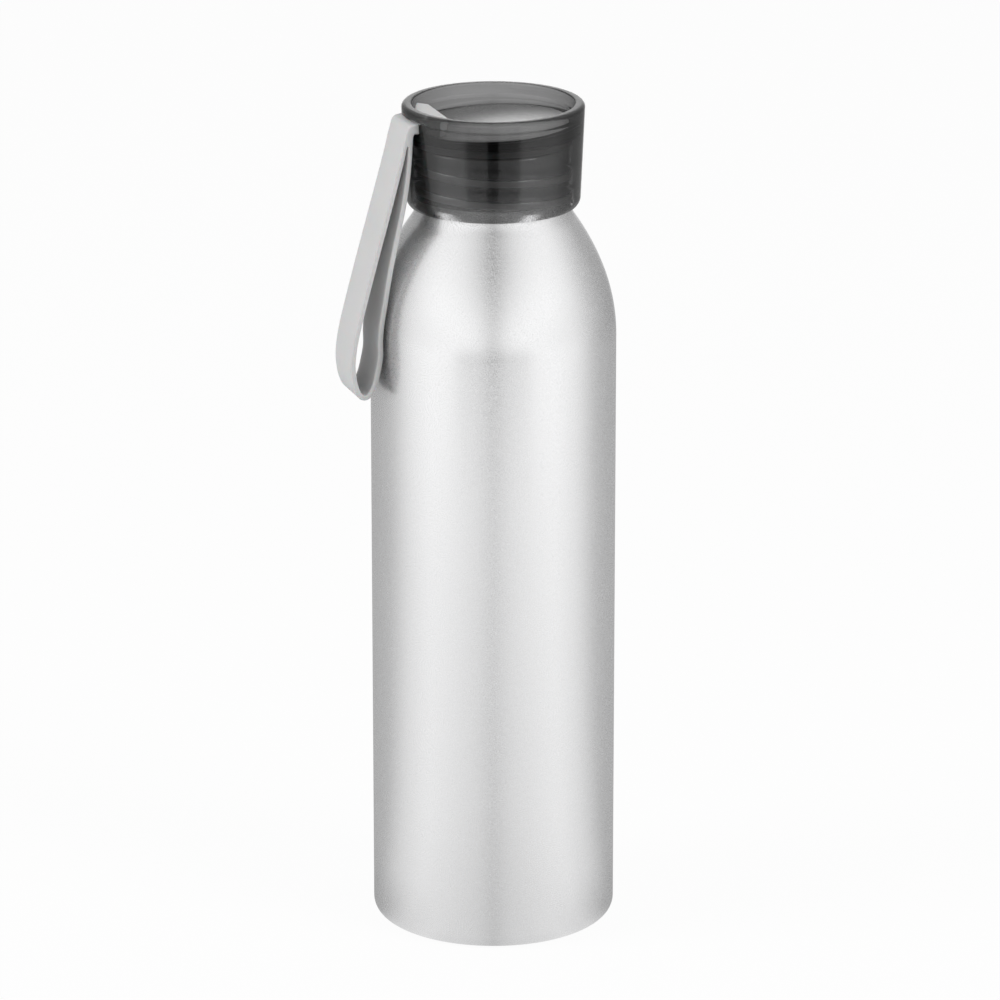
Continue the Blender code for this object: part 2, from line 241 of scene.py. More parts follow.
def welded(work, mesh):
    """Writes the working mesh with its near points merged and its normals outwards."""
    bmesh.ops.remove_doubles(work, verts=work.verts, dist=WELD)
    bmesh.ops.recalc_face_normals(work, faces=work.faces)
    work.to_mesh(mesh)
    work.free()
    return mesh


def plain_mesh(source):
    """The evaluated object as a mesh in the bottle's frame, welded; the source is removed."""
    graph = bpy.context.evaluated_depsgraph_get()
    mesh = bpy.data.meshes.new_from_object(source.evaluated_get(graph))
    mesh.transform(source.matrix_world)
    work = bmesh.new()
    work.from_mesh(mesh)
    welded(work, mesh)
    bpy.data.objects.remove(source)
    return mesh


def combined(piece, *tools):
    """The piece cut by, or joined with, other shapes in turn; the shapes are removed."""
    name = piece.name
    for tool, operation in tools:
        boolean = piece.modifiers.new(tool.name, "BOOLEAN")
        boolean.operation, boolean.solver, boolean.object = operation, "EXACT", tool
    mesh = plain_mesh(piece)
    for tool, _ in tools:
        bpy.data.objects.remove(tool)
    return new_object(name, mesh)


def finish_mesh(piece, material, sharp=35):
    """Smooth faces with sharp edges past an angle in degrees, and the piece's material."""
    piece.data.shade_smooth()
    piece.data.set_sharp_from_angle(angle=radians(sharp))
    piece.data.materials.clear()
    piece.data.materials.append(material)


def turned(name, profile, segments):
    """A mesh object from a profile of (radius, height) points turned about Z."""
    mesh = bpy.data.meshes.new(name)
    work = bmesh.new()
    line = [work.verts.new((r, 0, z)) for r, z in profile]
    edges = [work.edges.new(pair) for pair in zip(line, line[1:])]
    bmesh.ops.spin(
        work, geom=line + edges, cent=(0, 0, 0), axis=(0, 0, 1), angle=2 * pi, steps=segments,
        use_merge=True,
    )
    return new_object(name, welded(work, mesh))


class Nodes:
    """Short calls that add nodes to a material, a world or a node group and link them."""

    def __init__(self, tree):
        self.tree = tree

    def add(self, kind, inputs=(), **settings):
        """A new node; its inputs take values, or sockets of other nodes."""
        node = self.tree.nodes.new(kind)
        for key, value in settings.items():
            setattr(node, key, value)
        for key, value in dict(inputs).items():
            if isinstance(value, bpy.types.NodeSocket):
                self.tree.links.new(value, node.inputs[key])
            else:
                node.inputs[key].default_value = value
        return node

    def out(self, kind, inputs=(), **settings):
        """The first output of a new node."""
        return self.add(kind, inputs, **settings).outputs[0]

    def maths(self, operation, first, second=0.0, clamp=False):
        """A number from one or two numbers."""
        return self.out("ShaderNodeMath", {0: first, 1: second}, operation=operation, use_clamp=clamp)

    def measure(self, operation, first, second=(0, 0, 0)):
        """A number from one or two vectors."""
        return self.add("ShaderNodeVectorMath", {0: first, 1: second}, operation=operation).outputs["Value"]

    def scaled(self, vector, factor):
        """A vector or a colour times a number."""
        return self.out("ShaderNodeVectorMath", {0: vector, "Scale": factor}, operation="SCALE")

    def flattened(self, vector):
        """The vector laid level, and its three parts."""
        parts = self.add("ShaderNodeSeparateXYZ", {"Vector": vector}).outputs
        return self.out("ShaderNodeCombineXYZ", {"X": parts["X"], "Y": parts["Y"]}), parts

    def blend(self, value, low, high, start=0.0, end=1.0, **settings):
        """From low to high while the value goes from start to end."""
        inputs = {"Value": value, "From Min": start, "From Max": end, "To Min": low, "To Max": high}
        return self.out("ShaderNodeMapRange", inputs, **settings)

    def around(self, value, middle, spread):
        """From a spread under the middle to as much over it, while the value goes from 0 to 1."""
        return self.blend(value, middle - spread, middle + spread)

    def ramp(self, value, stops):
        """A colour ramp through (position, grey) stops."""
        node = self.add("ShaderNodeValToRGB", {"Fac": value})
        node.color_ramp.interpolation = "LINEAR"
        elements = node.color_ramp.elements
        while len(elements) < len(stops):
            elements.new(0.5)
        for element, (place, grey) in zip(elements, stops):
            element.position = place
            element.color = (grey, grey, grey, 1)
        return node.outputs["Color"]

    def mixed_colours(self, amount, first, second):
        """A colour between two. The colour sockets of a mix node are found by number."""
        return self.add("ShaderNodeMix", {0: amount, 6: first, 7: second}, data_type="RGBA").outputs[2]

    def mixed_shaders(self, amount, first, second):
        """A shader between two."""
        return self.out("ShaderNodeMixShader", {0: amount, 1: first, 2: second})

    def noise(self, place, scale, detail, roughness):
        """Grey noise on a place."""
        inputs = {"Vector": place, "Scale": scale, "Detail": detail, "Roughness": roughness}
        return self.add("ShaderNodeTexNoise", inputs).outputs["Fac"]

    def bump(self, height, strength, distance):
        """The normal of a face with a fine relief."""
        inputs = {"Height": height, "Strength": strength, "Distance": distance}
        return self.out("ShaderNodeBump", inputs)


def new_material(name):
    """A material without nodes, the calls that add some, and the object's own coordinates."""
    material = bpy.data.materials.new(name)
    material.use_nodes = True
    material.node_tree.nodes.clear()
    nodes = Nodes(material.node_tree)
    return material, nodes, nodes.add("ShaderNodeTexCoord").outputs["Object"]


def satin_aluminium(settings, neck_foot):
    """Blasted aluminium with a fine grain; the neck over neck_foot is turned smooth and painted darker, as
    painted shade under the lid.
    """
    material, nodes, place = new_material("satin_aluminium")
    height = nodes.add("ShaderNodeSeparateXYZ", {"Vector": place}).outputs["Z"]
    on_neck = nodes.maths("GREATER_THAN", height, neck_foot)

    grain = nodes.noise(place, scale=5000.0, detail=2.0, roughness=0.6)
    cloud = nodes.noise(place, scale=45.0, detail=3.0, roughness=0.5)
    grains = nodes.blend(grain, settings.satin, settings.dull, start=0.50, end=0.60)
    blasted = nodes.maths("ADD", grains, nodes.around(cloud, 0.0, 0.015))
    rough = nodes.blend(on_neck, blasted, nodes.around(grain, settings.machined, 0.02))

    # Painted shade: the neck's colour is darkened by the painted neck shade, for the shade under the lid
    shade = nodes.maths(
        "MULTIPLY", nodes.blend(cloud, 0.975, 1.0), nodes.blend(on_neck, 1.0, settings.painted_neck_shade)
    )
    fleck = nodes.around(grain, 1.0, 0.025)
    base = nodes.scaled((*settings.colour,), nodes.maths("MULTIPLY", shade, fleck))

    # Fine rings left by the lathe on the neck
    rings = nodes.add(
        "ShaderNodeTexWave", {"Vector": place, "Scale": 620.0, "Distortion": 0.4, "Detail": 1.0},
        wave_type="BANDS", bands_direction="Z",
    ).outputs["Fac"]
    relief = nodes.bump(
        nodes.blend(on_neck, grain, rings), strength=nodes.blend(on_neck, 0.06, 0.08), distance=0.02 * MM
    )
    metal = nodes.out(
        "ShaderNodeBsdfPrincipled",
        {"Base Color": base, "Roughness": rough, "Metallic": 1.0, "Normal": relief},
    )
    nodes.add("ShaderNodeOutputMaterial", {"Surface": metal})
    return material


def smoke_plastic(settings, dish_floor, dish_radius):
    """Clear smoke-grey plastic: glossy, with a frosted floor in the dish that carries a painted pool of
    light, and its tint in its depth.
    """
    material, nodes, place = new_material("smoke_plastic")
    level, parts = nodes.flattened(place)
    slope = nodes.maths("MULTIPLY", parts["X"], settings.floor_rise)
    off_floor = nodes.maths("SUBTRACT", nodes.maths("SUBTRACT", parts["Z"], slope), dish_floor)
    in_dish = nodes.maths(
        "MULTIPLY", nodes.maths("LESS_THAN", nodes.maths("ABSOLUTE", off_floor), 0.1 * MM),
        nodes.maths("LESS_THAN", nodes.measure("LENGTH", level), dish_radius),
    )
    mottle = nodes.noise(place, scale=900.0, detail=4.0, roughness=0.65)
    haze = nodes.noise(place, scale=120.0, detail=2.0, roughness=0.5)
    clear = nodes.around(haze, settings.gloss, 0.4 * settings.gloss)
    rough = nodes.blend(in_dish, clear, nodes.blend(mottle, 0.12, 0.3))

    # Painted light: a pool of light painted on the dish's matt floor, brightest towards -Y, that fades out
    light_pool_centre = (5 * MM, -15 * MM, 0)
    pool_full, pool_faded = 8 * MM, 30 * MM
    from_light_pool = nodes.measure("DISTANCE", level, light_pool_centre)
    painted_light_pool = nodes.blend(from_light_pool, 1.0, 0.15, pool_full, pool_faded, interpolation_type="SMOOTHSTEP")
    white = (1.0, 1.0, 1.0)
    # Painted light: the dish floor's colour is the painted pool of light times a real mottle
    painted_light_and_mottle = nodes.scaled(white, nodes.maths("MULTIPLY", painted_light_pool, nodes.around(mottle, 1.0, 0.25)))
    plastic = nodes.out(
        "ShaderNodeBsdfPrincipled",
        {
            "Base Color": nodes.mixed_colours(in_dish, (*white, 1), painted_light_and_mottle), "Roughness": rough,
            "Transmission Weight": nodes.blend(in_dish, 1.0, 1.0 - settings.frost),
            "IOR": 1.57, "Specular IOR Level": 0.7,
            "Normal": nodes.bump(haze, strength=0.05, distance=0.05 * MM),
        },
    )
    tinted = nodes.out(
        "ShaderNodeVolumeAbsorption", {"Color": (*settings.smoke, 1), "Density": settings.depth}
    )
    nodes.add("ShaderNodeOutputMaterial", {"Surface": plastic, "Volume": tinted})
    return material


def silicone(name, colour, roughness, subsurface):
    """Soft moulded silicone: matt, with a faint skin and a little light under it."""
    material, nodes, place = new_material(name)
    skin = nodes.noise(place, scale=2200.0, detail=3.0, roughness=0.6)
    cloud = nodes.noise(place, scale=70.0, detail=2.0, roughness=0.5)
    shade = nodes.maths("MULTIPLY", nodes.around(cloud, 1.0, 0.03), nodes.around(skin, 1.0, 0.02))
    soft = nodes.out(
        "ShaderNodeBsdfPrincipled",
        {
            "Base Color": nodes.scaled((*colour,), shade), "Roughness": nodes.around(skin, roughness, 0.06),
            "IOR": 1.42, "Normal": nodes.bump(skin, strength=0.12, distance=0.02 * MM),
            "Subsurface Weight": subsurface, "Subsurface Scale": 0.8 * MM,
        },
    )
    nodes.add("ShaderNodeOutputMaterial", {"Surface": soft})
    return material


def shoulder_arcs(s, body_radius, inset, neck, points):
    """The shoulder from the neck down to the cylinder, set in from the outer face by the wall."""
    fillet = s.neck_fillet + inset
    lower_centre = (body_radius - s.lower_radius, s.cylinder_top)
    reach = s.lower_radius - s.upper_radius
    upper_centre = (lower_centre[0] + reach * cos(s.lower_turn), lower_centre[1] + reach * sin(s.lower_turn))
    upper = s.upper_radius - inset
    fillet_r = neck + fillet
    across = fillet_r - upper_centre[0]
    fillet_z = upper_centre[1] + sqrt((upper + fillet) ** 2 - across**2)
    upper_turn = atan2(fillet_z - upper_centre[1], across)
    line = arc((fillet_r, fillet_z), fillet, pi, pi + upper_turn, points // 2)
    line += arc(upper_centre, upper, upper_turn, s.lower_turn, 2 * points)[1:]
    line += arc(lower_centre, s.lower_radius - inset, s.lower_turn, 0, points)[1:]
    return line


class BOTTLE_OT_shell(bpy.types.Operator):
    """Builds the satin aluminium shell with its rolled mouth and recessed base"""

    bl_idname = "bottle.shell"
    bl_label = "Aluminium shell"

    def execute(self, context):
        s = context.scene.bottle_shell
        radius, lip = shell_high.x, shell_high.z
        points = 12
        outer = shoulder_arcs(s, radius, 0, s.neck_radius, points)
        inner = shoulder_arcs(s, radius, s.wall, s.neck_radius - s.wall, points)
        neck_foot = outer[0][1]
        bead_centre = (s.neck_radius - s.bead, lip - s.bead)
        bead_start = pi + asin((s.wall - s.bead) / s.bead)
        ring_outer = radius - s.base_corner
        ring_inner = ring_outer - s.foot_ring
        inner_corner = s.base_corner - s.wall
        panel = ring_inner - s.recess

        profile = [(0, s.recess + s.floor), (panel, s.recess + s.floor), (ring_inner + s.floor / 2, s.floor)]
        profile += arc((ring_outer, s.floor + inner_corner), inner_corner, -pi / 2, 0, points)
        profile += inner[::-1]
        profile += arc(bead_centre, s.bead, bead_start, 0, 2 * points)
        profile += outer
        profile += arc((ring_outer, s.base_corner), s.base_corner, 0, -pi / 2, points)
        profile += [(ring_inner, 0)]
        profile += arc((panel, 0), s.recess, 0, pi / 2, points // 2)[1:]
        profile += [(0, s.recess)]
        shell = turned("aluminium_shell", profile, s.segments)
        finish_mesh(shell, satin_aluminium(s, neck_foot + s.turned_from))
        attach(shell, "bottle")
        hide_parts("bottle_shell")
        return {"FINISHED"}


def ridge_tree():
    """Geometry Nodes that sweep a rounded ridge along a helix about Z."""
    tree = bpy.data.node_groups.new("helical_ridge", "GeometryNodeTree")
    face = tree.interface
    numbers = (
        "Radius", "Pitch", "Turns", "Start", "Turned by", "Ridge height", "Half width", "Crest", "Round",
        "Facing", "Lead-in",
    )
    kinds = dict.fromkeys(numbers, "NodeSocketFloat")
    kinds |= {"Steps": "NodeSocketInt", "Material": "NodeSocketMaterial"}
    sockets = {name: face.new_socket(name, in_out="INPUT", socket_type=kind) for name, kind in kinds.items()}
    face.new_socket("Geometry", in_out="OUTPUT", socket_type="NodeSocketGeometry")
    nodes = Nodes(tree)
    given = nodes.add("NodeGroupInput").outputs
    rise = nodes.maths("MULTIPLY", given["Pitch"], given["Turns"])
    helix = nodes.out(
        "GeometryNodeCurveSpiral",
        {
            "Resolution": given["Steps"], "Rotations": given["Turns"], "Start Radius": given["Radius"],
            "End Radius": given["Radius"], "Height": rise,
        },
    )
    spin = nodes.out("ShaderNodeCombineXYZ", {"Z": given["Turned by"]})
    lift = nodes.out("ShaderNodeCombineXYZ", {"Z": given["Start"]})
    placed = nodes.out("GeometryNodeTransform", {"Geometry": helix, "Translation": lift, "Rotation": spin})
    upright = nodes.out("GeometryNodeSetCurveNormal", {"Curve": placed}, mode="Z_UP")

    # The ridge grows out of the wall over the lead-in at each end
    along = nodes.add("GeometryNodeSplineParameter").outputs["Factor"]
    from_end = nodes.maths("MINIMUM", along, nodes.maths("SUBTRACT", 1.0, along))
    grown = nodes.maths("DIVIDE", from_end, given["Lead-in"], clamp=True)
    least_scale = 0.05
    scale = nodes.maths("MAXIMUM", nodes.maths("SQRT", grown), least_scale)
    foot_width = nodes.maths("MULTIPLY", given["Half width"], 2.0)
    section = nodes.out(
        "GeometryNodeCurvePrimitiveQuadrilateral",
        {
            "Height": nodes.maths("MULTIPLY", given["Ridge height"], 2.0), "Bottom Width": foot_width,
            "Top Width": nodes.maths("MULTIPLY", foot_width, given["Crest"]), "Offset": 0.0,
        },
        mode="TRAPEZOID",
    )
    soft = nodes.out(
        "GeometryNodeFilletCurve",
        {"Curve": section, "Count": 3, "Radius": given["Round"], "Limit Radius": True}, mode="POLY",
    )
    facing = nodes.out("ShaderNodeCombineXYZ", {"Z": nodes.maths("MULTIPLY", given["Facing"], -pi / 2)})
    profile = nodes.out("GeometryNodeTransform", {"Geometry": soft, "Rotation": facing})
    ridge = nodes.out(
        "GeometryNodeCurveToMesh",
        {"Curve": upright, "Profile Curve": profile, "Scale": scale, "Fill Caps": True},
    )
    real = nodes.out("GeometryNodeRealizeInstances", {"Geometry": ridge})
    dressed = nodes.out("GeometryNodeSetMaterial", {"Geometry": real, "Material": given["Material"]})
    nodes.add("NodeGroupOutput", {"Geometry": dressed})
    return tree, {name: socket.identifier for name, socket in sockets.items()}


def helical_ridge(name, t, radius, start, height, rounding, facing, material):
    """The ridge of a screw thread as a plain mesh object: facing 1 stands outwards, -1 inwards."""
    tree, identifiers = ridge_tree()
    holder = new_object(name + "_nodes", bpy.data.meshes.new(name))
    modifier = holder.modifiers.new("Ridge", "NODES")
    modifier.node_group = tree
    values = {
        "Radius": radius, "Pitch": t.pitch, "Turns": t.turns, "Start": start, "Turned by": t.turned_by,
        "Ridge height": height, "Half width": t.half_width, "Crest": t.crest, "Round": rounding,
        "Facing": facing, "Lead-in": t.lead_in, "Steps": t.steps, "Material": material,
    }
    for key, value in values.items():
        modifier[identifiers[key]] = value
    bpy.context.view_layer.update()
    return new_object(name, plain_mesh(holder))


class BOTTLE_OT_neck_thread(bpy.types.Operator):
    """Winds the rolled thread round the neck"""

    bl_idname = "bottle.neck_thread"
    bl_label = "Neck thread"

    def execute(self, context):
        s, t = context.scene.bottle_shell, context.scene.bottle_thread
        material = bpy.data.materials["satin_aluminium"]
        ridge = helical_ridge(
            "neck_thread", t, s.neck_radius, t.start, t.height, t.rounding, 1.0, material
        )
        finish_mesh(ridge, material, 60)
        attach(ridge, "bottle")
        return {"FINISHED"}


def dish_foot(s):
    """Radius of the dish's wall at its foot, and height of the dish's floor."""
    return lid_high.x - s.rim_width - s.draft - s.step_width, lid_high.z - s.recess


def lid_profile(s):
    """The lid's section, from the middle of the dish over the rim and the skirt to the plug."""
    top, rim = lid_high.x, lid_high.z
    points = 10
    low_wall, plate_top = dish_foot(s)
    profile = [(0, plate_top)]
    fillet_centre = (low_wall - s.dish_fillet, plate_top + s.dish_fillet)
    profile += arc(fillet_centre, s.dish_fillet, -pi / 2, 0, 2 * points)
    for i in range(points + 1):
        rise = i / points
        ease = (1 - cos(pi * rise)) / 2
        profile.append((low_wall + s.step_width * ease, rim - s.step_depth - s.step_drop * (1 - rise)))
    rim_centre = top - s.rim_width + s.rim_inner
    profile += arc((rim_centre, rim - s.rim_inner), s.rim_inner, pi, pi / 2, points)
    profile += arc((top - s.rim_outer, rim - s.rim_outer), s.rim_outer, pi / 2, 0, points)

    corner_r = s.foot_radius - s.skirt_corner
    lip_turn = acos((s.bore + s.skirt_lip - corner_r) / s.skirt_corner)
    corner_z = lid_low.z + s.skirt_corner * sin(lip_turn)
    end_turn = asin(sin(lip_turn) - s.skirt_cut / s.skirt_corner)
    profile += arc((corner_r, corner_z), s.skirt_corner, 0, -end_turn, 2 * points)
    lip_centre = (s.bore + s.skirt_lip, lid_low.z + s.skirt_cut + s.skirt_lip)
    profile.append((lip_centre[0], lid_low.z + s.skirt_cut))
    profile += arc(lip_centre, s.skirt_lip, -pi / 2, -pi, points // 2)[1:]

    underside = plate_top - s.plate
    plug_inner, plug_foot = s.plug_radius - s.plug_wall, underside - s.plug_depth
    profile += [(s.bore, underside), (s.plug_radius, underside), (s.plug_radius, plug_foot + PLUG_CHAMFER)]
    profile += [(s.plug_radius - PLUG_CHAMFER, plug_foot), (plug_inner + PLUG_CHAMFER, plug_foot)]
    return profile + [(plug_inner, plug_foot + PLUG_CHAMFER), (plug_inner, underside), (0, underside)]


class BOTTLE_OT_lid(bpy.types.Operator):
    """Builds the clear smoke-grey lid with its dish, slot, plug and inner thread"""

    bl_idname = "bottle.lid"
    bl_label = "Screw lid"

    def execute(self, context):
        s, t = context.scene.bottle_lid, context.scene.bottle_thread
        lid = turned("smoke_lid", lid_profile(s), s.segments)
        low_wall, plate_top = dish_foot(s)

        # The dish's floor and fillet are slanted, and everything under them stays level
        margin = 0.1 * MM
        for vertex in lid.data.vertices:
            x, y, z = vertex.co
            on_floor = plate_top - margin < z < plate_top + s.dish_fillet + margin
            if on_floor and hypot(x, y) < low_wall + margin:
                vertex.co.z += s.floor_rise * x

        # The slot is cut round the tongue with the solids' play, from past the wall into the dish
        slot_z = swing_z + TONGUE_RISE
        half_height = context.scene.bottle_strap.tongue / 2 + SEAT_GAP
        half_width = loop_high.y + SEAT_GAP
        past_wall, into_dish = 2 * MM, 3 * MM
        cutter = rounded_box(
            "slot_cutter", (-lid_high.x - past_wall, -half_width, slot_z - half_height),
            (-low_wall + into_dish, half_width, slot_z + half_height), SLOT_ROUND, 4,
        )
        ridge = helical_ridge(
            "lid_thread", t, s.bore, t.start + t.pitch / 2, t.lid_height, t.lid_rounding, -1.0, None
        )
        lid = combined(lid, (cutter, "DIFFERENCE"), (ridge, "UNION"))
        finish_mesh(lid, smoke_plastic(s, plate_top, low_wall), 30)
        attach(lid, "lid")
        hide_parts("screw_lid")
        return {"FINISHED"}


def rounded_box(name, low, high, rounding, steps):
    """A box between two corners with rounded edges."""
    mesh = bpy.data.meshes.new(name)
    work = bmesh.new()
    bmesh.ops.create_cube(work, size=1)
    low, high = Vector(low), Vector(high)
    work.transform(Matrix.Translation((low + high) / 2) @ Matrix.Diagonal((*(high - low), 1)))
    bmesh.ops.bevel(work, geom=work.edges, offset=rounding, segments=steps, profile=0.5, affect="EDGES")
    work.to_mesh(mesh)
    work.free()
    return new_object(name, mesh)


class BOTTLE_OT_seal(bpy.types.Operator):
    """Builds the silicone washer between the mouth and the lid"""

    bl_idname = "bottle.seal"
    bl_label = "Lid seal"

    def execute(self, context):
        s = context.scene.bottle_lid
        inner, outer = s.plug_radius + SEAT_GAP, seal_high.x
        low, high, edge = seal_low.z, seal_high.z, s.seal_edge
        profile = []
        for centre, start in (
            ((inner + edge, high - edge), pi), ((outer - edge, high - edge), pi / 2),
            ((outer - edge, low + edge), 0), ((inner + edge, low + edge), -pi / 2),
        ):
            profile += arc(centre, edge, start, start - pi / 2, 5)
        seal = turned("seal_ring", profile + profile[:1], s.segments)
        finish_mesh(seal, silicone("seal_silicone", s.seal_colour, 0.45, 0.3))
        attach(seal, "seal")
        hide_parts("lid_seal")
        return {"FINISHED"}


# The strap's middle line, as in its solid. The outer strand from the swing axis down, as shares of its reach
# outwards and of the loop's drop
outer_strand_shares = (
    (0.080, 0.055), (0.146, 0.117), (0.310, 0.250), (0.482, 0.387), (0.650, 0.522), (0.814, 0.657),
    (0.920, 0.750), (0.977, 0.815), (1.000, 0.868),
)
# The round end, as shares of the strands' spread: out from the inner strand, and up from the lowest point
round_end_shares = (
    (0.986, 0.882), (0.917, 0.465), (0.771, 0.118), (0.604, 0.000),
    (0.424, 0.070), (0.257, 0.326), (0.132, 0.715),
)
# The inner strand up to the swing axis, as shares of its reach and of the drop
inner_strand_shares = (
    (1.000, 0.850), (0.997, 0.790), (0.960, 0.733), (0.842, 0.650), (0.703, 0.551), (0.552, 0.462),
    (0.383, 0.372), (0.221, 0.282), (0.098, 0.190), (0.033, 0.120), (0.000, 0.060),
)


def smooth_path(points, steps):
    """A Catmull-Rom curve through the points, with a few steps between each two."""
    padded = [points[0], *points, points[-1]]
    path = []
    for a, b, c, d in zip(padded, padded[1:], padded[2:], padded[3:]):
        for i in range(steps):
            t = i / steps
            weights = (
                (-t + 2 * t**2 - t**3) / 2,
                (2 - 5 * t**2 + 3 * t**3) / 2,
                (t + 4 * t**2 - 3 * t**3) / 2,
                (-(t**2) + t**3) / 2,
            )
            path.append(tuple(sum(w * p[k] for w, p in zip(weights, (a, b, c, d))) for k in (0, 1)))
    return path + [points[-1]]


def offset_path(path, distances):
    """The path moved sideways by a distance for each point: to its left for a positive one."""
    moved = []
    for i, ((x, y), distance) in enumerate(zip(path, distances)):
        (x0, y0), (x1, y1) = path[max(i - 1, 0)], path[min(i + 1, len(path) - 1)]
        length = hypot(x1 - x0, y1 - y0)
        moved.append((x - (y1 - y0) / length * distance, y + (x1 - x0) / length * distance))
    return moved


def flat_moulding(name, outlines, thickness, edge, place):
    """A flat outline with rounded edges, thick on both sides of its own plane, as a mesh object."""
    curve = bpy.data.curves.new(name, "CURVE")
    curve.dimensions = "2D"
    curve.fill_mode = "BOTH"
    curve.extrude = thickness / 2 - edge
    curve.bevel_depth = edge
    curve.bevel_resolution = 3
    curve.offset = -edge
    for outline in outlines:
        spline = curve.splines.new("POLY")
        spline.points.add(len(outline) - 1)
        for point, (x, y) in zip(spline.points, outline):
            point.co = (x, y, 0, 1)
        spline.use_cyclic_u = True
    holder = new_object(name + "_outline", curve)
    holder.matrix_world = place
    bpy.context.view_layer.update()
    return new_object(name, plain_mesh(holder))


def strap_outlines(s):
    """The outlines of the strap and of its hole: outwards and upwards from the swing axis."""
    half = s.thickness / 2
    drop = swing_z - loop_low.z - half
    spread = s.opening + s.thickness
    inner_reach = shell_high.x + s.clear + half + swing_x
    outer_reach = inner_reach + spread
    points = [(out * outer_reach, -down * drop) for out, down in outer_strand_shares]
    points += [(inner_reach + out * spread, up * spread - drop) for out, up in round_end_shares]
    points += [(out * inner_reach, -down * drop) for out, down in inner_strand_shares]
    middle = smooth_path(points, 10)
    outside = offset_path(middle, [half] * len(middle))

    # The strands' inner halves grow thinner towards the axis, so that they part high up: from one share of
    # the drop under it, over another
    slim_from, slim_over = 0.30, 0.25
    near_top = [min(max((y / drop + slim_from) / slim_over, 0), 1) for _, y in middle]
    inside = offset_path(middle, [-half * (1 - s.slimmer * near) for near in near_top])

    # Over the swing axis the strands become the tongue, which runs level through the slot and ends in the bar
    tongue_top, tongue_foot = TONGUE_RISE + s.tongue / 2, TONGUE_RISE - s.tongue / 2
    behind_front = 3 * MM
    inward = swing_x - anchor_high.x + behind_front
    wall = swing_x + lid_high.x
    upper = [
        (wall - 0.5 * MM, tongue_top), (-0.1 * MM, tongue_top - 0.35 * MM), (0.75 * MM, 0.55 * MM),
        (1.15 * MM, -0.8 * MM), (1.6 * MM, -2.3 * MM),
    ]
    lower = [(-0.86 * MM, -2.6 * MM), (-0.95 * MM, -1.5 * MM), (wall - 0.25 * MM, tongue_foot)]
    outline = [(inward, tongue_top)] + smooth_path(upper + [outside[0]], 5) + outside[1:]
    outline += smooth_path([outside[-1]] + lower, 4)[1:] + [(inward, tongue_foot)]

    lowest = min(range(len(middle)), key=lambda i: middle[i][1])

    def parted(height):
        outer_x, inner_x = (
            min(side, key=lambda p: abs(p[1] - height))[0] for side in (inside[:lowest], inside[lowest:])
        )
        return outer_x - inner_x > LEAST_OPENING

    return outline, [p for p in inside if p[1] < -drop / 2 or parted(p[1])]


def anchor_bar(s, lid):
    """The half-moon bar in the dish, hollowed where the dish's fillet runs under it."""
    back, front = -anchor_low.x - BAR_BACK, -anchor_high.x
    turn = asin(anchor_high.y / back)
    moon = arc((0, 0), back, pi - turn, pi + turn, 32)
    moon += [(-front, -BAR_FRONT), (-front, BAR_FRONT)]
    low_wall, floor_z = dish_foot(lid)
    foot = floor_z + BAR_LIFT
    middle = Matrix.Translation((0, 0, (foot + anchor_high.z) / 2))
    bar = flat_moulding("anchor_bar", [moon], anchor_high.z - foot, s.edge, middle)

    past_wall, under_floor = 2 * MM, 1 * MM
    fillet = lid.dish_fillet
    cove = arc((low_wall - fillet, floor_z + fillet), fillet - BAR_PLAY, -pi / 2, 0, 20)
    cove += [(low_wall - BAR_PLAY, lid_high.z), (low_wall + past_wall, lid_high.z)]
    cove += [(low_wall + past_wall, floor_z - under_floor), (low_wall - fillet, floor_z - under_floor)]
    ring = turned("cove_cutter", cove + cove[:1], STAGE_SEGMENTS)
    return combined(bar, (ring, "DIFFERENCE"))


class BOTTLE_OT_strap(bpy.types.Operator):
    """Moulds the silicone strap in one piece: anchor, tongue and hanging loop"""

    bl_idname = "bottle.strap"
    bl_label = "Carry strap"

    def execute(self, context):
        s = context.scene.bottle_strap
        outwards = Matrix(((-1, 0, 0), (0, 0, 1), (0, 1, 0))).to_4x4()
        place = Matrix.Translation((swing_x, 0, swing_z)) @ outwards
        strap = flat_moulding("carry_strap", strap_outlines(s), loop_high.y - loop_low.y, s.edge, place)
        strap = combined(strap, (anchor_bar(s, context.scene.bottle_lid), "UNION"))
        finish_mesh(strap, silicone("grey_silicone", s.colour, s.matt, 0.15), 40)
        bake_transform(strap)
        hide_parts("strap_anchor", "strap_loop")
        return {"FINISHED"}


